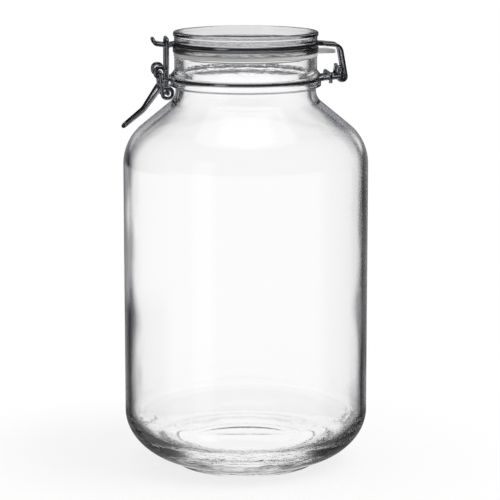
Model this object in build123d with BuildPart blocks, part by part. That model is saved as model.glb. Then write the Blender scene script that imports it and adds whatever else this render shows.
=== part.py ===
"""Clip-top glass storage jar: jar, lid and rubber ring, and a closure of bent steel wire.

Millimetres. The origin is the middle of the foot on the table, +Z up, latch towards -X, hinge towards +X.
Each wire is symmetrical about the XZ plane, so its half at -Y is bent and then mirrored.
"""

import os
from math import acos, cos, degrees, radians, sin, tan

from build123d import *

# Jar
body_radius = 79.5
body_wall = 3.5
floor_height = 17.0
floor_step = 1.0
floor_step_run = 1.5
floor_land = 0.5
heel_reach = 46.0
heel_rise = 34.5
heel_low = 1.0
foot_setback = 33.5
foot_ring_width = 7.0
push_up = 4.0
inner_heel_radius = 20.0
shoulder_slope = 39.3
shoulder_radius = 32.0
jar_height = 268.2
neck_radius = 46.1
neck_wall = 5.1
neck_root_step = 0.7
root_fillet = 10.0
root_land = 1.6
bead_height = 4.4
bead_width = 2.6
collar_height = 1.0
collar_taper = 3.2
lip_height = 9.05
glass_edge = 0.6

# Seal ring
seal_thickness = 2.4
seal_inset = 0.6
tab_length = 15.3
tab_width = 12.0
tab_corner = 3.0
tab_angle = 17.0

# Lid
lid_height = 13.3
flange_overhang = 1.0
flange_thickness = 3.0
flange_to_wire = 1.1
band_inset = 0.9
band_height = 3.1
rim_inset = 0.2
rim_taper = 1.0
rim_edge = 1.2
rim_width = 3.5
recess_depth = 11.2
recess_taper = 3.1
plug_depth = 2.0
plug_edge = 1.0
lid_groove_depth = 1.95

# Wire and the play between the pieces
wire = 2.4
bend_radius = 5.0
bar_bend = 2.4
pin_bend = 1.7
loop_roundness = 0.9
groove_play = 0.25
seat_gap = 0.15
plug_play = 2.0
seal_gap = 0.1
seal_play = 0.3
pin_play = 0.25
pin_end_gap = 0.35
strand_gap = 0.5
latch_gap = 1.8

# Latch, seen from the front of the jar: x and z of its pivots and bends
tongue_half_width = 7.4
tongue_valley_drop = 0.6
tongue_valley_out = 5.4
tongue_reach = 14.5
tongue_curl = 3.9
tongue_bend = 2.9
crossbar_out = 5.8
crossbar_bend = 2.6
lever_pivot_out = 8.95
lever_pivot_rise = 5.8
crank_in = 4.8
crank_drop = 13.5
eye_radius = 2.95
loop_radius = 3.15
arm_offset = 4.4
arm_run = 10.4
arm_drop = 14.95
arm_bend = 10.0
handle_run = 13.0
handle_drop = 10.6
bend_half_width = 6.5
handle_half_width = 4.2
handle_bend = 3.4
link_pin_end = 2.4

# Hinge
hinge_out = 14.15
hinge_rise = 1.4
strand_half_width = 11.5
hook_half_width = 7.6
leg_lean = 10.0
leg_top_drop = 1.3
hook_tail = 7.0
tail_lean = 8.0
tie_out = 6.0
tie_tail = 3.0
lead_angle = 25.0

os.makedirs("parts", exist_ok=True)

# Heights and radii that follow from the sizes above
inner_radius = body_radius - body_wall
foot_radius = body_radius - foot_setback
heel_middle = body_radius - heel_reach
heel_top = heel_low + heel_rise
heel_swing = acos((foot_radius - heel_middle) / heel_reach)
foot_edge = heel_top - heel_rise * sin(heel_swing)
floor_radius = inner_radius - inner_heel_radius - floor_land
floor_low = floor_height - floor_step
root_radius = neck_radius - neck_root_step
mouth_radius = neck_radius - neck_wall
slope_rise = tan(radians(shoulder_slope))
wall_drop = body_wall / cos(radians(shoulder_slope))
groove_half = wire / 2 + groove_play
neck_wire_height = jar_height - lip_height - collar_taper - collar_height - groove_half
groove_low = neck_wire_height - groove_half
groove_high = neck_wire_height + groove_half
root_reach = root_fillet * tan(radians(90 - shoulder_slope) / 2)
shoulder_top = groove_low - bead_height - root_land - root_reach
bead_radius = neck_radius + bead_width
flange_radius = neck_radius + flange_overhang
band_radius = flange_radius - band_inset
rim_radius = flange_radius - rim_inset
seat_height = jar_height + seal_gap + seal_thickness
plug_radius = mouth_radius - plug_play
lid_top = seat_height + lid_height
lid_wire_height = seat_height + flange_thickness + flange_to_wire + wire / 2
lid_groove_radius = band_radius - lid_groove_depth
neck_ring_radius = neck_radius + seat_gap + wire / 2
lid_ring_radius = lid_groove_radius + seat_gap + wire / 2


def shoulder_height(radius, drop=0.0):
    """Height of the sloping shoulder at a radius, or of the inner face when it drops by the wall."""
    return shoulder_top + (root_radius - radius) * slope_rise - drop


def lead_corner(ring_radius, half_width, side, height):
    """Where the tangent that leaves a ring meets a strand; side is -1 at the latch and 1 at the hinge."""
    angle = radians(lead_angle)
    run = (ring_radius * sin(angle) - half_width) / cos(angle)
    return (side * (ring_radius * cos(angle) + run * sin(angle)), -half_width, height)


def ring_end(ring_radius, side, height):
    """The point where a ring's tangent lead begins."""
    angle = radians(lead_angle)
    return (side * ring_radius * cos(angle), -ring_radius * sin(angle), height)


# Jar: one turned profile, from the push-up out over the foot and shoulder to the lip, and back down inside
with BuildPart() as jar:
    with BuildSketch(Plane.XZ) as jar_section:
        with BuildLine() as jar_outline:
            foot_inner = foot_radius - foot_ring_width
            TangentArc((0, push_up), (foot_inner, 0), tangent=(1, 0))
            Polyline((foot_inner, 0), (foot_radius, 0), (foot_radius, foot_edge))
            EllipticalCenterArc(
                (heel_middle, heel_top),
                heel_reach,
                heel_rise,
                start_angle=-degrees(heel_swing),
                arc_size=degrees(heel_swing),
            )
            FilletPolyline(
                (body_radius, heel_top),
                (body_radius, shoulder_height(body_radius)),
                (root_radius, shoulder_top),
                (root_radius, groove_low - bead_height),
                (bead_radius, groove_low - bead_height + bead_width / 2),
                (bead_radius, groove_low),
                (neck_radius, groove_low),
                (neck_radius, groove_high),
                (bead_radius, groove_high),
                (bead_radius, groove_high + collar_height),
                (neck_radius, groove_high + collar_height + collar_taper),
                (neck_radius, jar_height),
                (mouth_radius, jar_height),
                (mouth_radius, shoulder_height(mouth_radius, wall_drop)),
                (inner_radius, shoulder_height(inner_radius, wall_drop)),
                (inner_radius, floor_height),
                (floor_radius, floor_height),
                (floor_radius - floor_step_run, floor_low),
                (0, floor_low),
                radius=[
                    shoulder_radius,
                    root_fillet,
                    glass_edge,
                    glass_edge,
                    glass_edge,
                    glass_edge,
                    glass_edge,
                    glass_edge,
                    glass_edge,
                    glass_edge,
                    glass_edge,
                    glass_edge,
                    root_fillet + body_wall,
                    shoulder_radius - body_wall,
                    inner_heel_radius,
                    glass_edge,
                    glass_edge,
                ],
            )
            Line((0, floor_low), (0, push_up))
        make_face()
    revolve(axis=Axis.Z)

# Lid: a pressed dish whose floor is the plug, with a flange on the seal, a wire groove and a stacking rim
with BuildPart() as lid:
    with BuildSketch(Plane.XZ) as lid_section:
        with BuildLine() as lid_outline:
            FilletPolyline(
                (0, jar_height - plug_depth),
                (plug_radius, jar_height - plug_depth),
                (plug_radius, seat_height),
                (flange_radius, seat_height),
                (flange_radius, seat_height + flange_thickness),
                (lid_groove_radius, lid_wire_height - groove_half),
                (lid_groove_radius, lid_wire_height + groove_half),
                (band_radius, lid_wire_height + groove_half),
                (band_radius, lid_wire_height + groove_half + band_height),
                (rim_radius, lid_wire_height + groove_half + band_height + rim_taper),
                (rim_radius, lid_top),
                (rim_radius - rim_width, lid_top),
                (rim_radius - rim_width - recess_taper, lid_top - recess_depth),
                (0, lid_top - recess_depth),
                radius=[
                    plug_edge,
                    0,
                    glass_edge,
                    glass_edge,
                    glass_edge,
                    glass_edge,
                    glass_edge,
                    glass_edge,
                    glass_edge,
                    rim_edge,
                    rim_edge,
                    recess_taper,
                ],
            )
            Line((0, lid_top - recess_depth), (0, jar_height - plug_depth))
        make_face()
    revolve(axis=Axis.Z)

# Seal ring: a flat rubber washer round the plug, with a pull tab
with BuildPart() as seal_ring:
    seal_radius = flange_radius - seal_inset
    with BuildSketch(Plane.XY.offset(jar_height + seal_gap)):
        Circle(seal_radius)
        tab_root = (plug_radius + seal_radius) / 2
        tab_end = seal_radius + tab_length
        with PolarLocations((tab_root + tab_end) / 2, 1, start_angle=tab_angle):
            RectangleRounded(tab_end - tab_root, tab_width, tab_corner)
        Circle(plug_radius + seal_play, mode=Mode.SUBTRACT)
    extrude(amount=seal_thickness)

# Places of the latch: the lever's pivot in the neck wire's eyes, and the crank that carries the link
link_plane = tongue_half_width + wire + strand_gap
eye_plane = link_plane + wire + strand_gap
strut_plane = eye_plane + wire + strand_gap
arm_plane = strut_plane - wire - pin_play
pivot_x = -(neck_ring_radius + lever_pivot_out)
pivot_z = neck_wire_height + lever_pivot_rise
crank_x = pivot_x + crank_in
crank_z = pivot_z - crank_drop

# Places of the hinge: the bar across the neck wire's strands, and the hooks that turn on it
bar_x = neck_ring_radius + hinge_out
bar_z = neck_wire_height + hinge_rise
hook_radius = wire + pin_play
lean = radians(leg_lean)
leg_at_bar = bar_x + hook_radius / cos(lean)
leg_top_z = lid_wire_height - leg_top_drop

# Neck wire: eyes at the latch, half a hoop in the neck's groove, and a strand out to the hinge bar
with BuildPart() as neck_wire:
    eye_bend = loop_roundness * eye_radius
    with BuildLine() as neck_path:
        FilletPolyline(
            (pivot_x + eye_radius, -eye_plane, pivot_z),
            (pivot_x + eye_radius, -eye_plane, pivot_z + eye_radius),
            (pivot_x - eye_radius, -eye_plane, pivot_z + eye_radius),
            (pivot_x - eye_radius, -eye_plane, pivot_z - eye_radius),
            lead_corner(neck_ring_radius, eye_plane, -1, neck_wire_height),
            ring_end(neck_ring_radius, -1, neck_wire_height),
            radius=[eye_bend, eye_bend, eye_bend, bend_radius],
        )
        CenterArc((0, 0, neck_wire_height), neck_ring_radius, 180 + lead_angle, 180 - 2 * lead_angle)
        FilletPolyline(
            ring_end(neck_ring_radius, 1, neck_wire_height),
            lead_corner(neck_ring_radius, strand_half_width, 1, neck_wire_height),
            (bar_x, -strand_half_width, bar_z),
            (bar_x, 0, bar_z),
            radius=[bend_radius, bar_bend],
        )
    with BuildSketch(Plane(neck_path.line @ 0, z_dir=neck_path.line % 0)):
        Circle(wire / 2)
    sweep(path=neck_path.line)
    mirror(about=Plane.XZ)

# Hoop tie: a staple over the two strands that keeps the neck hoop from spreading at the hinge
with BuildPart() as hoop_tie:
    strand_root = lead_corner(neck_ring_radius, strand_half_width, 1, neck_wire_height)[0]
    tie_x = neck_ring_radius + tie_out
    strand_z = neck_wire_height + hinge_rise * (tie_x - strand_root) / (bar_x - strand_root)
    tie_z = strand_z + wire + seat_gap
    tie_y = strand_half_width + wire + seat_gap
    with BuildLine() as tie_path:
        FilletPolyline(
            (tie_x, -tie_y, strand_z - tie_tail),
            (tie_x, -tie_y, tie_z),
            (tie_x, 0, tie_z),
            radius=bar_bend,
        )
    with BuildSketch(Plane(tie_path.line @ 0, z_dir=tie_path.line % 0)):
        Circle(wire / 2)
    sweep(path=tie_path.line)
    mirror(about=Plane.XZ)

# Lid wire: a hook round the hinge bar, a leg, half a hoop in the lid's groove, and one side of the tongue
with BuildPart() as lid_wire:
    tail = radians(tail_lean)
    hook_bend = loop_roundness * hook_radius
    tongue_x = -(lid_ring_radius + tongue_reach)
    valley_z = lid_wire_height - tongue_valley_drop
    with BuildLine() as lid_path:
        FilletPolyline(
            (bar_x - hook_radius / cos(tail) + hook_tail * tan(tail), -hook_half_width, bar_z + hook_tail),
            (
                bar_x - hook_radius / cos(tail) - hook_radius * tan(tail),
                -hook_half_width,
                bar_z - hook_radius,
            ),
            (leg_at_bar + hook_radius * tan(lean), -hook_half_width, bar_z - hook_radius),
            (leg_at_bar - (leg_top_z - bar_z) * tan(lean), -hook_half_width, leg_top_z),
            lead_corner(lid_ring_radius, hook_half_width, 1, lid_wire_height),
            ring_end(lid_ring_radius, 1, lid_wire_height),
            radius=[hook_bend, hook_bend, bend_radius, bend_radius],
        )
        CenterArc((0, 0, lid_wire_height), lid_ring_radius, 180 + lead_angle, 180 - 2 * lead_angle)
        FilletPolyline(
            ring_end(lid_ring_radius, -1, lid_wire_height),
            lead_corner(lid_ring_radius, tongue_half_width, -1, lid_wire_height),
            (-(lid_ring_radius + tongue_valley_out), -tongue_half_width, valley_z),
            (tongue_x + wire / 2, -tongue_half_width, valley_z + wire / 2),
            (tongue_x, -tongue_half_width, valley_z + tongue_curl),
            (tongue_x, 0, valley_z + tongue_curl),
            radius=[bend_radius, bend_radius, bar_bend, tongue_bend],
        )
    with BuildSketch(Plane(lid_path.line @ 0, z_dir=lid_path.line % 0)):
        Circle(wire / 2)
    sweep(path=lid_path.line)
    mirror(about=Plane.XZ)

# Lever: a pin in the neck wire's eye, a strut, a loop for the link, and an arm bent into the pull handle
with BuildPart() as lever:
    arm_z = crank_z + loop_radius
    arm_x = crank_x - arm_offset
    loop_bend = loop_roundness * loop_radius
    loop_step = (strut_plane - arm_plane) / 3
    with BuildLine() as lever_path:
        FilletPolyline(
            (pivot_x, -(link_plane + wire / 2 + pin_end_gap), pivot_z),
            (pivot_x, -strut_plane, pivot_z),
            (crank_x - loop_radius, -strut_plane, crank_z - loop_radius),
            (crank_x + loop_radius, -strut_plane + loop_step, crank_z - loop_radius),
            (crank_x + loop_radius, -strut_plane + 2 * loop_step, arm_z),
            (arm_x, -arm_plane, arm_z),
            (arm_x - arm_run, -bend_half_width, arm_z - arm_drop),
            (arm_x - arm_run - handle_run, -handle_half_width, arm_z - arm_drop - handle_drop),
            (arm_x - arm_run - handle_run, 0, arm_z - arm_drop - handle_drop),
            radius=[pin_bend, loop_bend, loop_bend, loop_bend, bar_bend, arm_bend, handle_bend],
        )
    with BuildSketch(Plane(lever_path.line @ 0, z_dir=lever_path.line % 0)):
        Circle(wire / 2)
    sweep(path=lever_path.line)
    mirror(about=Plane.XZ)

# Link: a bail whose pins turn in the lever's loops and whose crossbar pulls on the lid wire's tongue
with BuildPart() as link:
    crossbar_x = -(lid_ring_radius + crossbar_out)
    crossbar_z = lid_wire_height - tongue_valley_drop + wire + latch_gap
    with BuildLine() as link_path:
        FilletPolyline(
            (crank_x, -(strut_plane + link_pin_end), crank_z),
            (crank_x, -link_plane, crank_z),
            (crossbar_x, -link_plane, crossbar_z),
            (crossbar_x, 0, crossbar_z),
            radius=[pin_bend, crossbar_bend],
        )
    with BuildSketch(Plane(link_path.line @ 0, z_dir=link_path.line % 0)):
        Circle(wire / 2)
    sweep(path=link_path.line)
    mirror(about=Plane.XZ)

pieces = {
    "jar": jar,
    "lid": lid,
    "seal_ring": seal_ring,
    "neck_wire": neck_wire,
    "hoop_tie": hoop_tie,
    "lid_wire": lid_wire,
    "lever": lever,
    "link": link,
}
for name, piece in pieces.items():
    piece.part.label = name
    export_step(piece.part, f"parts/{name}.step")
    print(name, round(piece.part.volume), piece.part.bounding_box())
print("lever pivot", pivot_x, pivot_z, "crank", crank_x, crank_z, "bar", bar_x, bar_z)
print("crossbar", crossbar_x, crossbar_z, "lid wire", lid_wire_height, "top", lid_top)
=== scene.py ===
import math

import bpy
import numpy as np
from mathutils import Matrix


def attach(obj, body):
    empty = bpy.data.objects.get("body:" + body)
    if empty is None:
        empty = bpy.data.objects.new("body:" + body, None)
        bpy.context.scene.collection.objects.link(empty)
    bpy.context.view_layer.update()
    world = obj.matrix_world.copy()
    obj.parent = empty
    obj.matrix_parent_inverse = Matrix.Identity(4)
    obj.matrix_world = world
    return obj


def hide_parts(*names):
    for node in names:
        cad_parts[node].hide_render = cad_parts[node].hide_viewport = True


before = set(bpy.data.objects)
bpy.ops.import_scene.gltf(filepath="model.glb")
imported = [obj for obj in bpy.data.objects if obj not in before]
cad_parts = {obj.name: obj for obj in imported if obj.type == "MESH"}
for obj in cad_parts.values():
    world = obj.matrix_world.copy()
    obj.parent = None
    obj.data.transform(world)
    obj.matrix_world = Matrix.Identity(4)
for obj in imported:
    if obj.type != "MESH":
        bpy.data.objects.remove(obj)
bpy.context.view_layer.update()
print("frame loaded:", sorted(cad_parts))

mm = 0.001
wireRadius = 1.2  # all five wires are drawn to the same gauge, mm
wireEase = 0.3  # how far the cut ends of a wire are eased, mm
nearArc = 0.12  # how close to an arc a straight run gets its last point, mm


def toLinear(hexColour):
    # sRGB hex to linear: below 0.04045 divide by 12.92, above it the 2.4 power curve
    raw = np.array([int(hexColour[i:i + 2], 16) for i in (1, 3, 5)]) / 255
    flat = np.where(raw <= 0.04045, raw / 12.92, ((raw + 0.055) / 1.055) ** 2.4)
    return (*flat.tolist(), 1.0)


def addNode(tree, kind, settings=None, sockets=None, links=None):
    # one node: its own settings, constants on its sockets, and links from other nodes' outputs
    node = tree.nodes.new(kind)
    for key, value in (settings or {}).items():
        setattr(node, key, value)
    for key, value in (sockets or {}).items():
        node.inputs[key].default_value = value
    for key, output in (links or {}).items():
        tree.links.new(output, node.inputs[key])
    return node


def newMaterial(name):
    material = bpy.data.materials.new(name)
    material.use_nodes = True
    material.node_tree.nodes.clear()
    return material, material.node_tree


def bentLine(corners, radii, spacing, arcStep=6.0):
    # a line through corners, each corner replaced by the arc of its radius that is tangent to both runs;
    # runs are divided to the spacing, with a point close to each arc so that shading stays on the arc
    points = np.array(corners, float)
    incoming = points[1:-1] - points[:-2]
    outgoing = points[2:] - points[1:-1]
    lengthIn = np.linalg.norm(incoming, axis=1)
    lengthOut = np.linalg.norm(outgoing, axis=1)
    a = incoming / lengthIn[:, None]
    b = outgoing / lengthOut[:, None]
    turn = np.arccos(np.clip((a * b).sum(1), -1, 1))
    radius = np.array(radii, float)
    reach = radius * np.tan(turn / 2)
    starts = points[1:-1] - a * reach[:, None]
    ends = points[1:-1] + b * reach[:, None]
    runFrom = np.vstack([points[:1], ends])
    runTo = np.vstack([starts, points[-1:]])
    pieces = []
    for k in range(len(runFrom)):
        run = runTo[k] - runFrom[k]
        length = np.linalg.norm(run)
        if length > 1e-6:
            count = max(2, int(np.ceil(length / spacing)) + 1)
            near = min(nearArc, 0.2 * length) / length
            share = np.unique(np.concatenate([np.linspace(0, 1, count), [near, 1 - near]]))
            pieces.append(runFrom[k] + share[:, None] * run)
        if k < len(turn) and radius[k] > 1e-6:
            count = max(4, int(np.ceil(math.degrees(turn[k]) / arcStep)) + 1)
            swing = np.linspace(0, turn[k], count)[:, None]
            inward = b[k] - a[k] * math.cos(turn[k])
            inward = inward / np.linalg.norm(inward)
            pieces.append(starts[k] + radius[k] * (np.sin(swing) * a[k] + (1 - np.cos(swing)) * inward))
    line = np.vstack(pieces)
    keep = np.concatenate([[True], np.linalg.norm(np.diff(line, axis=0), axis=1) > 1e-5])
    return line[keep]


def gridPiece(name, points, alongClosed=False, attribute=None):
    # a mesh from a grid of points [along, around, xyz] in mm; a row that shrinks to a point becomes a pole
    rows, columns = points.shape[:2]
    index = np.arange(rows * columns).reshape(rows, columns)
    upper = np.roll(index, -1, axis=0) if alongClosed else index[1:]
    lower = index if alongClosed else index[:-1]
    quads = np.stack([lower, np.roll(lower, -1, 1), np.roll(upper, -1, 1), upper], axis=-1).reshape(-1, 4)
    span = np.ptp(points, axis=1).max(axis=1)
    first = np.where((span < 1e-6)[:, None], index[:, :1], index).reshape(-1)
    used, quads = np.unique(first[quads], return_inverse=True)
    quads = quads.reshape(-1, 4)
    flat = points.reshape(-1, 3)[used]
    collapsed = [quads[:, i] == quads[:, (i + 1) % 4] for i in range(4)]
    faces = quads[~np.any(collapsed, axis=0)].tolist()
    for i in range(4):
        corners = [(i + 1) % 4, (i + 2) % 4, (i + 3) % 4]
        faces.extend(quads[collapsed[i]][:, corners].tolist())
    mesh = bpy.data.meshes.new(name)
    mesh.from_pydata((flat * mm).tolist(), [], faces)
    if attribute is not None:
        layer = mesh.attributes.new("alongWire", "FLOAT_VECTOR", "POINT")
        layer.data.foreach_set("vector", (attribute.reshape(-1, 3)[used] * mm).astype(np.float32).ravel())
    mesh.polygons.foreach_set("use_smooth", np.ones(len(mesh.polygons), bool))
    mesh.validate()
    mesh.update()
    piece = bpy.data.objects.new(name, mesh)
    bpy.context.scene.collection.objects.link(piece)
    return piece


def turnedPiece(name, section, columns):
    # surface of revolution: a closed section of (radius, height) carried once round the Z axis
    angle = np.linspace(0, 2 * np.pi, columns, endpoint=False)
    radius, height = section[:, 0], section[:, 1]
    points = np.stack(
        [
            radius[:, None] * np.cos(angle),
            radius[:, None] * np.sin(angle),
            np.repeat(height[:, None], columns, axis=1),
        ],
        axis=-1,
    )
    return gridPiece(name, points)


def mirrored(half):
    # the half bent at -Y, then the same half seen in the XZ plane, walked back to its free end
    other = half[::-1] * np.array([1, -1, 1])
    return np.vstack([half, other[1:]])


def wirePiece(name, route, sides=20):
    # a circle of the wire's radius carried along the route, square to its tangent, with its cut ends eased
    tangent = np.gradient(route, axis=0)
    tangent /= np.linalg.norm(tangent, axis=1)[:, None]
    reference = np.array([0.46, 0.62, 0.64])  # never along any run of these wires
    side = np.cross(tangent, reference)
    side /= np.linalg.norm(side, axis=1)[:, None]
    up = np.cross(side, tangent)
    length = np.concatenate([[0], np.cumsum(np.linalg.norm(np.diff(route, axis=0), axis=1))])
    picks = np.concatenate([[0, 0, 0], np.arange(1, len(route) - 1), [-1, -1, -1]])
    scale = np.ones(len(picks))
    scale[[0, -1]] = 0
    scale[[1, -2]] = 1 - wireEase / wireRadius
    shift = np.zeros(len(picks))
    shift[2], shift[-3] = wireEase, -wireEase
    angle = np.linspace(0, 2 * np.pi, sides, endpoint=False)
    across, upward = np.cos(angle)[None, :, None], np.sin(angle)[None, :, None]
    ring = across * side[picks][:, None] + upward * up[picks][:, None]
    centre = route[picks] + shift[:, None] * tangent[picks]
    points = centre[:, None] + wireRadius * scale[:, None, None] * ring
    along = np.stack(
        [
            np.broadcast_to(wireRadius * np.cos(angle), ring.shape[:2]),
            np.broadcast_to(wireRadius * np.sin(angle), ring.shape[:2]),
            np.repeat(length[picks][:, None], sides, axis=1),
        ],
        axis=-1,
    )
    return gridPiece(name, points, attribute=along)


leadAngle = math.radians(25)  # how far round from the axis a hoop's tangent leads leave it


def leadCorner(ringRadius, halfWidth, side, height):
    # where the tangent that leaves a hoop meets a strand; side is -1 at the latch and 1 at the hinge
    run = (ringRadius * math.sin(leadAngle) - halfWidth) / math.cos(leadAngle)
    return (side * (ringRadius * math.cos(leadAngle) + run * math.sin(leadAngle)), -halfWidth, height)


def ringEnd(ringRadius, side, height):
    return (side * ringRadius * math.cos(leadAngle), -ringRadius * math.sin(leadAngle), height)


def halfHoop(ringRadius, height, count=66):
    # the half of a hoop at -Y, from the latch to the hinge: radius times cosine and sine of the angle
    angle = np.linspace(math.pi + leadAngle, 2 * math.pi - leadAngle, count)
    level = np.full(count, height)
    return np.stack([ringRadius * np.cos(angle), ringRadius * np.sin(angle), level], axis=-1)


# jar: the foot, heel, wall, shoulder and neck finish outside, and back down the inside
jarSizes = {
    "bodyRadius": 79.5, "bodyWall": 3.5, "floorHeight": 17.0, "floorStep": 1.0, "floorStepRun": 1.5,
    "footRadius": 46.0, "footInner": 39.0, "heelReach": 46.0, "heelRise": 34.5, "heelLow": 1.0,
    "pushUp": 4.0, "innerHeel": 20.0, "floorLand": 0.5, "slope": 39.3, "shoulderRadius": 32.0,
    "shoulderTop": 241.31, "rootFillet": 10.0, "jarHeight": 268.2, "neckRadius": 46.1, "rootStep": 0.7,
    "mouthRadius": 41.0, "beadHeight": 4.4, "beadWidth": 2.6, "collarHeight": 1.0, "collarTaper": 3.2,
    "wireHeight": 253.5, "grooveHalf": 1.45, "edge": 0.6, "spacing": 6.0, "arcStep": 4.0,
    "footArcStep": 15.0, "domeRows": 24, "heelRows": 40, "columns": 192,
}


def jarSection(s):
    # radius and height along the glass: the outline of the solid, with every corner rounded
    rise = math.tan(math.radians(s["slope"]))
    drop = s["bodyWall"] / math.cos(math.radians(s["slope"]))
    root = s["neckRadius"] - s["rootStep"]
    inner = s["bodyRadius"] - s["bodyWall"]
    floorEdge = inner - s["innerHeel"] - s["floorLand"]
    bead = s["neckRadius"] + s["beadWidth"]
    low = s["wireHeight"] - s["grooveHalf"]
    high = s["wireHeight"] + s["grooveHalf"]
    bowl = (s["footInner"] ** 2 + s["pushUp"] ** 2) / (2 * s["pushUp"])  # radius of the push-up's arc
    across = s["footInner"] * np.linspace(0, 1, s["domeRows"])[:-1, None]
    dome = np.hstack([across, s["pushUp"] - bowl + np.sqrt(bowl ** 2 - across ** 2)])
    heelIn = s["bodyRadius"] - s["heelReach"]
    swing = np.linspace(-math.acos((s["footRadius"] - heelIn) / s["heelReach"]), 0, s["heelRows"])[:, None]
    heelTop = s["heelLow"] + s["heelRise"]
    heel = np.hstack([heelIn + s["heelReach"] * np.cos(swing), heelTop + s["heelRise"] * np.sin(swing)])
    footCorners = [(s["footInner"], 0), (s["footRadius"], 0), tuple(heel[0])]
    foot = bentLine(footCorners, [s["edge"]], s["spacing"], s["footArcStep"])
    corners = [
        (s["bodyRadius"], heelTop),
        (s["bodyRadius"], s["shoulderTop"] + (root - s["bodyRadius"]) * rise),
        (root, s["shoulderTop"]),
        (root, low - s["beadHeight"]),
        (bead, low - s["beadHeight"] + s["beadWidth"] / 2),
        (bead, low),
        (s["neckRadius"], low),
        (s["neckRadius"], high),
        (bead, high),
        (bead, high + s["collarHeight"]),
        (s["neckRadius"], high + s["collarHeight"] + s["collarTaper"]),
        (s["neckRadius"], s["jarHeight"]),
        (s["mouthRadius"], s["jarHeight"]),
        (s["mouthRadius"], s["shoulderTop"] + (root - s["mouthRadius"]) * rise - drop),
        (inner, s["shoulderTop"] + (root - inner) * rise - drop),
        (inner, s["floorHeight"]),
        (floorEdge, s["floorHeight"]),
        (floorEdge - s["floorStepRun"], s["floorHeight"] - s["floorStep"]),
        (0, s["floorHeight"] - s["floorStep"]),
    ]
    e = s["edge"]
    radii = [s["shoulderRadius"], s["rootFillet"]] + [e] * 10
    radii += [s["rootFillet"] + s["bodyWall"], s["shoulderRadius"] - s["bodyWall"], s["innerHeel"], e, e]
    line = bentLine(corners, radii, s["spacing"], s["arcStep"])
    return np.vstack([dome, foot[:-1], heel[:-1], line])


jarGlass = turnedPiece("jarGlass", jarSection(jarSizes), jarSizes["columns"])
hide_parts("jar")
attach(jarGlass, "jar")
print("jar turned:", len(jarGlass.data.polygons), "faces")

# lid: a pressed dish, its floor the plug, with flange, wire groove and stacking rim
lidSizes = {
    "seat": 270.7, "plugBottom": 266.2, "plugRadius": 39.0, "flangeRadius": 47.1, "flange": 3.0,
    "grooveRadius": 44.25, "wireHeight": 276.0, "grooveHalf": 1.45, "bandRadius": 46.2, "bandHeight": 3.1,
    "rimRadius": 46.9, "rimTaper": 1.0, "rimWidth": 3.5, "top": 284.0, "recessDepth": 11.2,
    "recessTaper": 3.1, "edge": 0.6, "plugEdge": 1.0, "seatEdge": 0.3, "rimEdge": 1.2,
    "spacing": 4.0, "arcStep": 6.0, "columns": 240,
}


def lidSection(s):
    # radius and height of the lid's outline, from the middle of the plug round to the middle of the recess
    band = s["wireHeight"] + s["grooveHalf"]
    corners = [
        (0, s["plugBottom"]),
        (s["plugRadius"], s["plugBottom"]),
        (s["plugRadius"], s["seat"]),
        (s["flangeRadius"], s["seat"]),
        (s["flangeRadius"], s["seat"] + s["flange"]),
        (s["grooveRadius"], s["wireHeight"] - s["grooveHalf"]),
        (s["grooveRadius"], band),
        (s["bandRadius"], band),
        (s["bandRadius"], band + s["bandHeight"]),
        (s["rimRadius"], band + s["bandHeight"] + s["rimTaper"]),
        (s["rimRadius"], s["top"]),
        (s["rimRadius"] - s["rimWidth"], s["top"]),
        (s["rimRadius"] - s["rimWidth"] - s["recessTaper"], s["top"] - s["recessDepth"]),
        (0, s["top"] - s["recessDepth"]),
    ]
    radii = [s["plugEdge"], s["seatEdge"]] + [s["edge"]] * 7 + [s["rimEdge"]] * 2 + [s["recessTaper"]]
    return bentLine(corners, radii, s["spacing"], s["arcStep"])


lidGlass = turnedPiece("lidGlass", lidSection(lidSizes), lidSizes["columns"])
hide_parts("lid")
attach(lidGlass, "lid")
print("lid turned:", len(lidGlass.data.polygons), "faces")

# rubber ring: a flat washer whose outer edge runs out into a pull tab
sealSizes = {
    "low": 268.3, "high": 270.7, "inner": 39.3, "outer": 46.5, "tabEnd": 61.8, "tabWidth": 12.0,
    "tabAngle": 17.0, "tabCorner": 3.0, "tabMargin": 0.6, "edge": 0.5, "nip": 0.075,
    "tabColumns": 120, "ringColumns": 180,
}


def sealSurface(s):
    # section: a rounded bar; its outer edge is the larger of the ring's circle and the tab's rounded end
    half = s["tabWidth"] / 2
    spread = math.degrees(math.asin(half / s["outer"])) + s["tabMargin"]
    fine = np.linspace(-spread, spread, s["tabColumns"])
    rest = np.linspace(spread, 360 - spread, s["ringColumns"])[1:-1]
    turn = np.radians(np.concatenate([fine, rest]))
    sideways = s["outer"] * np.sin(turn)
    inTab = (np.abs(sideways) < half) & (np.cos(turn) > 0)
    corner = s["tabCorner"]
    fromSide = np.clip(half - np.abs(sideways), 0, corner)
    rounded = corner - np.sqrt(np.clip(corner ** 2 - (corner - fromSide) ** 2, 0, None))
    outer = np.where(inTab, s["tabEnd"] - rounded, s["outer"])
    angle = turn + math.radians(s["tabAngle"])
    e, n, low, high = s["edge"], s["nip"], s["low"], s["high"]
    share = np.array([0, 0, 0, 0.3, 0.6, 1, 1, 1, 1, 1, 1, 0.6, 0.3, 0, 0, 0])
    inset = np.array([0, n, e, 0, 0, -e, -n, 0, 0, -n, -e, 0, 0, e, n, 0])
    under = [low + e, low + n, low, low, low, low, low + n, low + e]
    above = [high - e, high - n, high, high, high, high, high - n, high - e]
    radius = s["inner"] + share[:, None] * (outer[None] - s["inner"]) + inset[:, None]
    height = np.broadcast_to(np.array(under + above)[:, None], radius.shape)
    return np.stack([radius * np.cos(angle), radius * np.sin(angle), height], axis=-1)


rubberRing = gridPiece("rubberRing", sealSurface(sealSizes), alongClosed=True)
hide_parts("seal_ring")
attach(rubberRing, "lid")
print("rubber ring made:", len(rubberRing.data.polygons), "faces")

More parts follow.
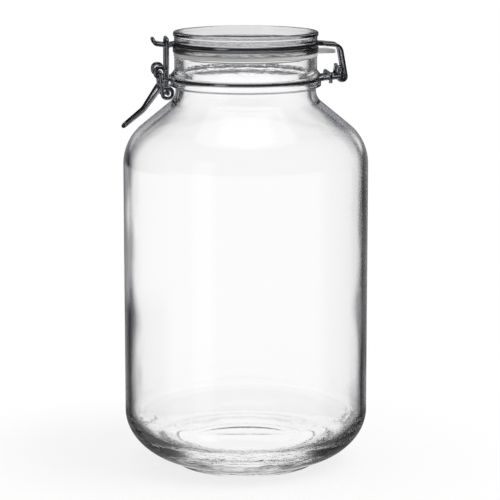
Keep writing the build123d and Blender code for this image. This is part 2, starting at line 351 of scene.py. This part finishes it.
# closure: the latch stands at -X, the hinge at +X, and every wire mirrors in the XZ plane; its wires share
# these hoops, pivots and planes
closure = {
    "neckRing": 47.45, "neckHeight": 253.5, "lidRing": 45.6, "lidHeight": 276.0, "bend": 5.0,
    "pivotX": -56.4, "pivotZ": 259.3, "crankX": -51.6, "crankZ": 245.8, "barX": 61.6, "barZ": 254.9,
    "linkPlane": 10.3, "strutPlane": 16.1, "valley": 275.4, "spacing": 2.0, "arcStep": 9.0,
}
neckHoopSizes = {"eye": 2.95, "eyeBend": 2.655, "eyePlane": 13.2, "strandHalf": 11.5, "barBend": 2.4}


def neckHoopRoute():
    # eye round the lever's pin, lead to the hoop, half the hoop, strand to the hinge bar
    c, s = closure, neckHoopSizes
    eye, x, z, plane = s["eye"], c["pivotX"], c["pivotZ"], -s["eyePlane"]
    latch = bentLine(
        [
            (x + eye, plane, z),
            (x + eye, plane, z + eye),
            (x - eye, plane, z + eye),
            (x - eye, plane, z - eye),
            leadCorner(c["neckRing"], s["eyePlane"], -1, c["neckHeight"]),
            ringEnd(c["neckRing"], -1, c["neckHeight"]),
        ],
        [s["eyeBend"]] * 3 + [c["bend"]], c["spacing"], c["arcStep"],
    )
    hinge = bentLine(
        [
            ringEnd(c["neckRing"], 1, c["neckHeight"]),
            leadCorner(c["neckRing"], s["strandHalf"], 1, c["neckHeight"]),
            (c["barX"], -s["strandHalf"], c["barZ"]),
            (c["barX"], 0, c["barZ"]),
        ],
        [c["bend"], s["barBend"]], c["spacing"], c["arcStep"],
    )
    return np.vstack([latch[:-1], halfHoop(c["neckRing"], c["neckHeight"]), hinge[1:]])


hoopTieSizes = {"x": 53.45, "half": 14.05, "tail": 251.12, "back": 256.67, "bend": 2.4}


def hoopTieRoute():
    # staple over the hinge strands: a tail, then half the back
    s = hoopTieSizes
    corners = [(s["x"], -s["half"], s["tail"]), (s["x"], -s["half"], s["back"]), (s["x"], 0, s["back"])]
    return bentLine(corners, [s["bend"]], closure["spacing"], closure["arcStep"])


lidHoopSizes = {
    "hook": 2.65, "hookBend": 2.385, "hookHalf": 7.6, "hookTail": 7.0, "tailLean": 8.0, "legLean": 10.0,
    "legTopDrop": 1.3, "tongueHalf": 7.4, "valleyOut": 5.4, "reach": 14.5, "curl": 3.9, "tipBend": 2.4,
    "tongueBend": 2.9,
}


def lidHoopRoute():
    # hook round the hinge bar, leg, half the hoop, and one side of the tongue
    c, s = closure, lidHoopSizes
    hook, tail, lean = s["hook"], math.radians(s["tailLean"]), math.radians(s["legLean"])
    x, z, side = c["barX"], c["barZ"], -s["hookHalf"]
    legTop = c["lidHeight"] - s["legTopDrop"]
    legX = x + hook / math.cos(lean)
    hinge = bentLine(
        [
            (x - hook / math.cos(tail) + s["hookTail"] * math.tan(tail), side, z + s["hookTail"]),
            (x - hook / math.cos(tail) - hook * math.tan(tail), side, z - hook),
            (legX + hook * math.tan(lean), side, z - hook),
            (legX - (legTop - z) * math.tan(lean), side, legTop),
            leadCorner(c["lidRing"], s["hookHalf"], 1, c["lidHeight"]),
            ringEnd(c["lidRing"], 1, c["lidHeight"]),
        ],
        [s["hookBend"]] * 2 + [c["bend"]] * 2, c["spacing"], c["arcStep"],
    )
    half, tip, valley = -s["tongueHalf"], -(c["lidRing"] + s["reach"]), c["valley"]
    tongue = bentLine(
        [
            ringEnd(c["lidRing"], -1, c["lidHeight"]),
            leadCorner(c["lidRing"], s["tongueHalf"], -1, c["lidHeight"]),
            (-(c["lidRing"] + s["valleyOut"]), half, valley),
            (tip + wireRadius, half, valley + wireRadius),
            (tip, half, valley + s["curl"]),
            (tip, 0, valley + s["curl"]),
        ],
        [c["bend"], c["bend"], s["tipBend"], s["tongueBend"]], c["spacing"], c["arcStep"],
    )
    return np.vstack([hinge[:-1], halfHoop(c["lidRing"], c["lidHeight"])[::-1], tongue[1:]])


latchLeverSizes = {
    "pinEnd": 11.85, "loop": 3.15, "armPlane": 13.45, "armOffset": 4.4, "armRun": 10.4, "armDrop": 14.95,
    "handleRun": 13.0, "handleDrop": 10.6, "bendHalf": 6.5, "handleHalf": 4.2, "pinBend": 1.7,
    "loopBend": 2.835, "armRootBend": 2.4, "armBend": 10.0, "handleBend": 3.4,
}


def latchLeverRoute():
    # pin, strut, loop for the link, arm, and half the pull handle
    c, s = closure, latchLeverSizes
    loop, x, z, strut = s["loop"], c["crankX"], c["crankZ"], c["strutPlane"]
    armX, armZ = x - s["armOffset"], z + loop
    endX, endZ = armX - s["armRun"] - s["handleRun"], armZ - s["armDrop"] - s["handleDrop"]
    step = (strut - s["armPlane"]) / 3
    return bentLine(
        [
            (c["pivotX"], -s["pinEnd"], c["pivotZ"]),
            (c["pivotX"], -strut, c["pivotZ"]),
            (x - loop, -strut, z - loop),
            (x + loop, -strut + step, z - loop),
            (x + loop, -strut + 2 * step, armZ),
            (armX, -s["armPlane"], armZ),
            (armX - s["armRun"], -s["bendHalf"], armZ - s["armDrop"]),
            (endX, -s["handleHalf"], endZ),
            (endX, 0, endZ),
        ],
        [s["pinBend"]] + [s["loopBend"]] * 3 + [s["armRootBend"], s["armBend"], s["handleBend"]],
        c["spacing"], c["arcStep"],
    )


latchLinkSizes = {"pinEnd": 18.5, "crossbarOut": 5.8, "latchGap": 1.8, "pinBend": 1.7, "crossbarBend": 2.6}


def latchLinkRoute():
    # pin in the lever's loop, side, and half the crossbar
    c, s = closure, latchLinkSizes
    barX, barZ = -(c["lidRing"] + s["crossbarOut"]), c["valley"] + 2 * wireRadius + s["latchGap"]
    return bentLine(
        [
            (c["crankX"], -s["pinEnd"], c["crankZ"]),
            (c["crankX"], -c["linkPlane"], c["crankZ"]),
            (barX, -c["linkPlane"], barZ),
            (barX, 0, barZ),
        ],
        [s["pinBend"], s["crossbarBend"]], c["spacing"], c["arcStep"],
    )


wires = {
    "neckHoop": ("neck_wire", "jar", neckHoopRoute),
    "hoopTie": ("hoop_tie", "jar", hoopTieRoute),
    "lidHoop": ("lid_wire", "lid", lidHoopRoute),
    "latchLever": ("lever", "lever", latchLeverRoute),
    "latchLink": ("link", "link", latchLinkRoute),
}
wirePieces = []
for name, (node, body, route) in wires.items():
    bent = wirePiece(name, mirrored(route()))
    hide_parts(node)
    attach(bent, body)
    wirePieces.append(bent)
    print("wire bent:", name, len(bent.data.polygons), "faces")

# soda-lime glass, blown: water clear, with slow waves along the wall and short wrinkles where the mould
# chilled it at the heel and the neck; edge-on its colour gets a painted shade, darker bands that wander
# with the slow waves and are mottled where the wrinkles are
glassLook = {
    "tint": "#ffffff", "ior": 1.52, "roughness": 0.0, "waveSize": 40.0, "waveDepth": 0.06,
    "wrinkle": (7.0, 7.0, 2.2), "wrinkleDepth": 0.11, "neckShare": 0.25, "grey": 0.0,
    "smoothFrom": 36.0, "smoothTo": 236.0, "chillRun": 16.0,
    "paintedEdgeShade": "#66676d", "edgeFrom": 0.6, "edgeTo": 0.84, "wander": 0.5, "shadeMottle": 0.9,
    "shadeMottleMiddle": 0.45, "flatFrom": 0.8, "flatTo": 0.97,
}
# soda-lime glass, pressed: the same glass, a little grey, with the plunger's streaks round it; edge-on it
# gets the same painted shade, without the wander or the mottle
pressedLook = {
    "tint": "#e9e9eb", "ior": 1.52, "roughness": 0.0, "waveSize": 14.0, "waveDepth": 0.03,
    "wrinkle": (9.0, 9.0, 1.6), "wrinkleDepth": 0.1, "neckShare": 1.0, "grey": 0.006,
    "smoothFrom": 0.0, "smoothTo": 0.0, "chillRun": 16.0,
    "paintedEdgeShade": "#85868a", "edgeFrom": 0.6, "edgeTo": 0.85, "wander": 0.0, "shadeMottle": 0.0,
    "shadeMottleMiddle": 0.45, "flatFrom": 0.8, "flatTo": 0.97,
}


def glassMaterial(name, look):
    material, tree = newMaterial(name)
    place = addNode(tree, "ShaderNodeTexCoord")
    wave = addNode(
        tree, "ShaderNodeTexNoise",
        sockets={"Scale": 1 / (look["waveSize"] * mm), "Detail": 0.0},
        links={"Vector": place.outputs["Object"]},
    )
    slow = addNode(
        tree, "ShaderNodeBump",
        sockets={"Strength": 1.0, "Distance": look["waveDepth"] * mm},
        links={"Height": wave.outputs["Fac"]},
    )
    stretch = addNode(
        tree, "ShaderNodeMapping",
        sockets={"Scale": tuple(1 / (size * mm) for size in look["wrinkle"])},
        links={"Vector": place.outputs["Object"]},
    )
    wrinkle = addNode(
        tree, "ShaderNodeTexNoise", sockets={"Scale": 1.0, "Detail": 2.0, "Distortion": 0.6},
        links={"Vector": stretch.outputs["Vector"]},
    )
    axes = addNode(tree, "ShaderNodeSeparateXYZ", links={0: place.outputs["Object"]})
    heel = addNode(
        tree, "ShaderNodeMapRange", settings={"interpolation_type": "SMOOTHSTEP"},
        sockets={
            "From Min": (look["smoothFrom"] - look["chillRun"]) * mm, "From Max": look["smoothFrom"] * mm,
            "To Min": 1.0, "To Max": 0.0,
        },
        links={"Value": axes.outputs["Z"]},
    )
    neck = addNode(
        tree, "ShaderNodeMapRange", settings={"interpolation_type": "SMOOTHSTEP"},
        sockets={
            "From Min": look["smoothTo"] * mm, "From Max": (look["smoothTo"] + look["chillRun"]) * mm,
            "To Max": look["neckShare"],
        },
        links={"Value": axes.outputs["Z"]},
    )
    chilled = addNode(
        tree, "ShaderNodeMath", settings={"operation": "MAXIMUM"},
        links={0: heel.outputs["Result"], 1: neck.outputs["Result"]},
    )
    bump = addNode(
        tree, "ShaderNodeBump",
        sockets={"Distance": look["wrinkleDepth"] * mm},
        links={
            "Height": wrinkle.outputs["Fac"],
            "Strength": chilled.outputs[0],
            "Normal": slow.outputs["Normal"],
        },
    )
    # painted shade: the base colour darkens towards grazing, standing in for the dark room that a wall's
    # edge shows
    grazing = addNode(tree, "ShaderNodeLayerWeight", sockets={"Blend": 0.5})
    # painted shade, mottled: where the wrinkles are, their noise breaks the dark edge bands into patches
    shadeMottleShare = addNode(
        tree, "ShaderNodeMath", settings={"operation": "MULTIPLY"}, sockets={1: look["shadeMottle"]},
        links={0: chilled.outputs[0]},
    )
    centred = addNode(
        tree, "ShaderNodeMath", settings={"operation": "SUBTRACT"}, sockets={1: look["shadeMottleMiddle"]},
        links={0: wrinkle.outputs["Fac"]},
    )
    mottledFacing = addNode(
        tree, "ShaderNodeMath", settings={"operation": "MULTIPLY_ADD"},
        links={0: centred.outputs[0], 1: shadeMottleShare.outputs[0], 2: grazing.outputs["Facing"]},
    )
    wandering = addNode(
        tree, "ShaderNodeMath", settings={"operation": "MULTIPLY_ADD"}, sockets={1: look["wander"]},
        links={0: wave.outputs["Fac"], 2: mottledFacing.outputs[0]},
    )
    edge = addNode(
        tree, "ShaderNodeMapRange", settings={"interpolation_type": "SMOOTHSTEP"},
        sockets={
            "From Min": look["edgeFrom"] + look["wander"] / 2,
            "From Max": look["edgeTo"] + look["wander"] / 2,
        },
        links={"Value": wandering.outputs[0]},
    )
    normal = addNode(tree, "ShaderNodeSeparateXYZ", links={0: place.outputs["Normal"]})
    flatness = addNode(
        tree, "ShaderNodeMath", settings={"operation": "ABSOLUTE"}, links={0: normal.outputs["Z"]},
    )
    upright = addNode(  # the painted edge shade stays off flat floors and tops, which stay clear
        tree, "ShaderNodeMapRange", settings={"interpolation_type": "SMOOTHSTEP"},
        sockets={"From Min": look["flatFrom"], "From Max": look["flatTo"], "To Min": 1.0, "To Max": 0.0},
        links={"Value": flatness.outputs[0]},
    )
    shade = addNode(
        tree, "ShaderNodeMath", settings={"operation": "MULTIPLY"},
        links={0: edge.outputs["Result"], 1: upright.outputs["Result"]},
    )
    # the glass's own tint mixed towards the painted edge shade
    tone = addNode(
        tree, "ShaderNodeMix", settings={"data_type": "RGBA"},
        sockets={6: toLinear(look["tint"]), 7: toLinear(look["paintedEdgeShade"])},
        links={0: shade.outputs[0]},
    )
    shader = addNode(
        tree, "ShaderNodeBsdfPrincipled",
        sockets={"Transmission Weight": 1.0, "IOR": look["ior"], "Roughness": look["roughness"]},
        links={"Base Color": tone.outputs[2], "Normal": bump.outputs["Normal"]},
    )
    ends = {"Surface": shader.outputs["BSDF"]}
    if look["grey"]:  # the share of light that a millimetre of this glass holds back
        body = addNode(
            tree, "ShaderNodeVolumeAbsorption",
            sockets={"Color": toLinear("#000000"), "Density": look["grey"] / mm},
        )
        ends["Volume"] = body.outputs["Volume"]
    addNode(tree, "ShaderNodeOutputMaterial", links=ends)
    return material


jarGlass.data.materials.append(glassMaterial("blownSodaLimeGlass", glassLook))
lidGlass.data.materials.append(glassMaterial("pressedSodaLimeGlass", pressedLook))

# white rubber: cloudy, satin, with a fine moulded grain
rubberLook = {
    "colour": "#c4c5c3", "roughness": 0.42, "grain": 0.5, "grainDepth": 0.02,
    "cloud": 0.3, "cloudReach": 2.0,
}
rubber, tree = newMaterial("mouldedWhiteRubber")
place = addNode(tree, "ShaderNodeTexCoord")
grain = addNode(
    tree, "ShaderNodeTexNoise",
    sockets={"Scale": 1 / (rubberLook["grain"] * mm), "Detail": 3.0},
    links={"Vector": place.outputs["Object"]},
)
bump = addNode(
    tree, "ShaderNodeBump",
    sockets={"Strength": 1.0, "Distance": rubberLook["grainDepth"] * mm},
    links={"Height": grain.outputs["Fac"]},
)
shader = addNode(
    tree, "ShaderNodeBsdfPrincipled",
    sockets={
        "Base Color": toLinear(rubberLook["colour"]),
        "Roughness": rubberLook["roughness"],
        "Subsurface Weight": rubberLook["cloud"],
        "Subsurface Radius": (rubberLook["cloudReach"] * mm,) * 3,
    },
    links={"Normal": bump.outputs["Normal"]},
)
addNode(tree, "ShaderNodeOutputMaterial", links={"Surface": shader.outputs["BSDF"]})
rubberRing.data.materials.append(rubber)

# stainless spring wire, drawn bright: hard highlights with fine draw lines along the wire
steelLook = {
    "colour": "#9b9da3", "lineWidth": 0.6, "lineLength": 14.0, "lineDepth": 0.002,
    "smoothest": 0.03, "roughest": 0.09,
}
steel, tree = newMaterial("drawnStainlessWire")
along = addNode(tree, "ShaderNodeAttribute", settings={"attribute_name": "alongWire"})
stretch = addNode(
    tree, "ShaderNodeMapping",
    sockets={"Scale": (1 / (steelLook["lineWidth"] * mm),) * 2 + (1 / (steelLook["lineLength"] * mm),)},
    links={"Vector": along.outputs["Vector"]},
)
lines = addNode(
    tree, "ShaderNodeTexNoise", sockets={"Scale": 1.0, "Detail": 2.0},
    links={"Vector": stretch.outputs["Vector"]},
)
bump = addNode(
    tree, "ShaderNodeBump",
    sockets={"Strength": 1.0, "Distance": steelLook["lineDepth"] * mm},
    links={"Height": lines.outputs["Fac"]},
)
wear = addNode(
    tree, "ShaderNodeMapRange",
    sockets={
        "From Min": 0.3, "From Max": 0.7, "To Min": steelLook["smoothest"], "To Max": steelLook["roughest"],
    },
    links={"Value": lines.outputs["Fac"]},
)
shader = addNode(
    tree, "ShaderNodeBsdfPrincipled",
    sockets={"Base Color": toLinear(steelLook["colour"]), "Metallic": 1.0},
    links={"Normal": bump.outputs["Normal"], "Roughness": wear.outputs["Result"]},
)
addNode(tree, "ShaderNodeOutputMaterial", links={"Surface": shader.outputs["BSDF"]})
for bent in wirePieces:
    bent.data.materials.append(steel)
print("materials made")

# floor: a pale round table top that fades into the white of the room
floorSizes = {
    "radius": 250.0, "sink": 0.02, "fadeFrom": 110.0, "fadeTo": 240.0, "shadowShare": 0.2,
    "underFrom": 40.0, "underTo": 58.0, "rows": 30, "columns": 96, "colour": "#f4f4f4",
}
outward = np.linspace(0, floorSizes["radius"], floorSizes["rows"])
floorSection = np.stack([outward, np.full(floorSizes["rows"], -floorSizes["sink"])], axis=-1)
floor = turnedPiece("floor", floorSection, floorSizes["columns"])
floorLook, tree = newMaterial("paleTable")
path = addNode(tree, "ShaderNodeLightPath")
place = addNode(tree, "ShaderNodeTexCoord")
away = addNode(
    tree, "ShaderNodeVectorMath", settings={"operation": "LENGTH"},
    links={"Vector": place.outputs["Object"]},
)
fade = addNode(
    tree, "ShaderNodeMapRange", settings={"interpolation_type": "SMOOTHSTEP"},
    sockets={
        "From Min": floorSizes["fadeFrom"] * mm, "From Max": floorSizes["fadeTo"] * mm,
        "To Min": 1 - floorSizes["shadowShare"], "To Max": 1.0,
    },
    links={"Value": away.outputs["Value"]},
)
share = addNode(
    tree, "ShaderNodeMath", settings={"operation": "MULTIPLY"},
    links={0: path.outputs["Is Camera Ray"], 1: fade.outputs["Result"]},
)
matt = addNode(tree, "ShaderNodeBsdfDiffuse", sockets={"Color": toLinear(floorSizes["colour"])})
white = addNode(tree, "ShaderNodeEmission", sockets={"Color": (1, 1, 1, 1), "Strength": 1.0})
mix = addNode(
    tree, "ShaderNodeMixShader",
    links={0: share.outputs[0], 1: matt.outputs["BSDF"], 2: white.outputs["Emission"]},
)
clear = addNode(tree, "ShaderNodeBsdfTransparent")  # in the glass, the room shows beyond the jar's foot
underJar = addNode(
    tree, "ShaderNodeMapRange", settings={"interpolation_type": "SMOOTHSTEP"},
    sockets={"From Min": floorSizes["underFrom"] * mm, "From Max": floorSizes["underTo"] * mm},
    links={"Value": away.outputs["Value"]},
)
pale = addNode(
    tree, "ShaderNodeMixShader",
    links={0: underJar.outputs["Result"], 1: white.outputs["Emission"], 2: clear.outputs["BSDF"]},
)
inPiece = addNode(
    tree, "ShaderNodeMath", settings={"operation": "MAXIMUM"},
    links={0: path.outputs["Is Glossy Ray"], 1: path.outputs["Is Transmission Ray"]},
)
beyond = addNode(
    tree, "ShaderNodeMixShader",
    links={0: inPiece.outputs[0], 1: mix.outputs["Shader"], 2: pale.outputs["Shader"]},
)
addNode(tree, "ShaderNodeOutputMaterial", links={"Surface": beyond.outputs["Shader"]})
floor.data.materials.append(floorLook)

# room: soft panels round the object, each by its turn (middle and half width, clockwise from the view), its
# rise from level (low and high edge) and the blur of its edges across and up, all in degrees
panels = {
    "paleWalls": {"turn": (0.0, 200.0), "rise": (-100.0, 7.0), "blur": (4.0, 3.0), "level": 1.0},
    "whiteSweep": {"turn": (0.0, 11.5), "rise": (-100.0, 40.0), "blur": (4.0, 3.0), "level": 1.0},
    "topOfSweep": {"turn": (0.0, 26.0), "rise": (4.0, 40.0), "blur": (12.0, 6.0), "level": 1.0},
    "overhead": {"turn": (0.0, 200.0), "rise": (76.0, 100.0), "blur": (4.0, 6.0), "level": 1.0},
    "backWall": {"turn": (180.0, 70.0), "rise": (-100.0, -1.0), "blur": (20.0, 3.0), "level": 1.0},
    "leftWall": {"turn": (-61.0, 49.0), "rise": (-10.5, -7.4), "blur": (4.0, 1.0), "level": 1.0},
    "wideOverhead": {"turn": (0.0, 200.0), "rise": (64.0, 100.0), "blur": (5.0, 5.0), "level": 1.0},
    "dimSweep": {"turn": (0.0, 30.0), "rise": (-100.0, 10.0), "blur": (6.0, 6.0), "level": 0.15},
    "table": {"turn": (180.0, 115.0), "rise": (-17.0, -6.0), "blur": (3.0, 3.0), "level": 0.2},
    "stripLight": {"turn": (-140.0, 5.0), "rise": (-30.0, 25.0), "blur": (10.0, 8.0), "level": 0.8},
}
# what goes right through the jar sees the white sweep and pale walls, what runs along a wall and out of the
# same face sees the dark beside the sweep, and wire and the glass's first face mirror a dark room's lights
rooms = {
    "through": {"level": 0.05, "panels": ("paleWalls", "whiteSweep", "topOfSweep", "overhead")},
    "along": {"level": 0.11, "panels": ("backWall", "whiteSweep", "topOfSweep", "overhead", "leftWall")},
    "mirrored": {"level": 0.02, "panels": ("wideOverhead", "dimSweep", "table", "stripLight")},
}
roomLook = {"viewTurn": 5.9, "fill": 0.75, "enteredDepth": 0.5, "crossedDepth": 3.5}
world = bpy.data.worlds.new("studio")
bpy.context.scene.world = world
world.use_nodes = True
tree = world.node_tree
tree.nodes.clear()
place = addNode(tree, "ShaderNodeTexCoord")
views = {}
for roomName, room in rooms.items():
    level = None
    for panel in (panels[panelName] for panelName in room["panels"]):
        facing = addNode(
            tree, "ShaderNodeVectorRotate", settings={"rotation_type": "Z_AXIS"},
            sockets={"Angle": math.radians(roomLook["viewTurn"] + panel["turn"][0])},
            links={"Vector": place.outputs["Generated"]},
        )
        axes = addNode(tree, "ShaderNodeSeparateXYZ", links={0: facing.outputs["Vector"]})
        turn = addNode(
            tree, "ShaderNodeMath", settings={"operation": "ARCTAN2"},
            links={0: axes.outputs["X"], 1: axes.outputs["Y"]},
        )
        aside = addNode(
            tree, "ShaderNodeMath", settings={"operation": "ABSOLUTE"}, links={0: turn.outputs[0]},
        )
        rise = addNode(
            tree, "ShaderNodeMath", settings={"operation": "ARCSINE"}, links={0: axes.outputs["Z"]},
        )
        share = None
        for angle, inside, outside in (
            (aside, panel["turn"][1], panel["turn"][1] + panel["blur"][0]),
            (rise, panel["rise"][0], panel["rise"][0] - panel["blur"][1]),
            (rise, panel["rise"][1], panel["rise"][1] + panel["blur"][1]),
        ):
            side = addNode(
                tree, "ShaderNodeMapRange", settings={"interpolation_type": "SMOOTHSTEP"},
                sockets={
                    "From Min": math.radians(min(inside, outside)),
                    "From Max": math.radians(max(inside, outside)),
                    "To Min": 1.0 if inside < outside else 0.0,
                    "To Max": 0.0 if inside < outside else 1.0,
                },
                links={"Value": angle.outputs[0]},
            ).outputs["Result"]
            if share is not None:
                side = addNode(
                    tree, "ShaderNodeMath", settings={"operation": "MULTIPLY"}, links={0: share, 1: side},
                ).outputs[0]
            share = side
        level = addNode(
            tree, "ShaderNodeMix", settings={"data_type": "FLOAT"},
            sockets={2: room["level"], 3: panel["level"]},
            links={0: share} if level is None else {0: share, 2: level},
        ).outputs[0]
    views[roomName] = level
path = addNode(tree, "ShaderNodeLightPath")
inGlass = addNode(
    tree, "ShaderNodeMath", settings={"operation": "GREATER_THAN"}, sockets={1: roomLook["enteredDepth"]},
    links={0: path.outputs["Transmission Depth"]},
)
crossed = addNode(
    tree, "ShaderNodeMath", settings={"operation": "GREATER_THAN"}, sockets={1: roomLook["crossedDepth"]},
    links={0: path.outputs["Transmission Depth"]},
)
glassy = addNode(
    tree, "ShaderNodeMix", settings={"data_type": "FLOAT"},
    links={0: crossed.outputs[0], 2: views["along"], 3: views["through"]},
)
shown = addNode(
    tree, "ShaderNodeMix", settings={"data_type": "FLOAT"},
    links={0: inGlass.outputs[0], 2: views["mirrored"], 3: glassy.outputs[0]},
)
fill = addNode(
    tree, "ShaderNodeMix", settings={"data_type": "FLOAT"}, sockets={3: roomLook["fill"]},
    links={0: path.outputs["Is Diffuse Ray"], 2: shown.outputs[0]},
)
level = addNode(
    tree, "ShaderNodeMath", settings={"operation": "MAXIMUM"},
    links={0: fill.outputs[0], 1: path.outputs["Is Camera Ray"]},
)
background = addNode(
    tree, "ShaderNodeBackground", sockets={"Color": (1, 1, 1, 1)}, links={"Strength": level.outputs[0]},
)
addNode(tree, "ShaderNodeOutputWorld", links={"Surface": background.outputs["Background"]})

# one wide soft lamp above and to the right
lampLook = {"place": (0.9, -0.5, 1.3), "aim": (0.0, 0.0, 0.14), "size": 1.0, "power": 12.0}
lampData = bpy.data.lights.new("softLamp", "AREA")
lampData.size = lampLook["size"]
lampData.energy = lampLook["power"]
lamp = bpy.data.objects.new("softLamp", lampData)
lamp.location = lampLook["place"]
aim = np.array(lampLook["aim"]) - np.array(lampLook["place"])
tilt = math.acos(-aim[2] / np.linalg.norm(aim))
lamp.rotation_euler = (tilt, 0, math.atan2(aim[1], aim[0]) - math.pi / 2)
lamp.visible_glossy = False  # bright faces show the room's own overhead light instead
lamp.visible_transmission = False
bpy.context.scene.collection.objects.link(lamp)
print("room and lamp set")

# camera: at the picture's height, a little to the latch side
cameraLook = {
    "place": (-0.1571, -1.5211, 0.4077), "down": 0.1728, "turn": -6.0, "lens": 170.8, "sensor": 36.0,
}
cameraData = bpy.data.cameras.new("camera")
cameraData.sensor_width = cameraLook["sensor"]
cameraData.lens = cameraLook["lens"]
camera = bpy.data.objects.new("camera", cameraData)
camera.location = cameraLook["place"]
camera.rotation_euler = (math.pi / 2 - cameraLook["down"], 0, math.radians(cameraLook["turn"]))
bpy.context.scene.collection.objects.link(camera)
bpy.context.scene.camera = camera

bpy.context.scene.view_settings.view_transform = "Standard"
bpy.context.scene.cycles.max_bounces = 32  # thick glass passes light through many faces
bpy.context.scene.cycles.glossy_bounces = 16
bpy.context.scene.cycles.transmission_bounces = 32
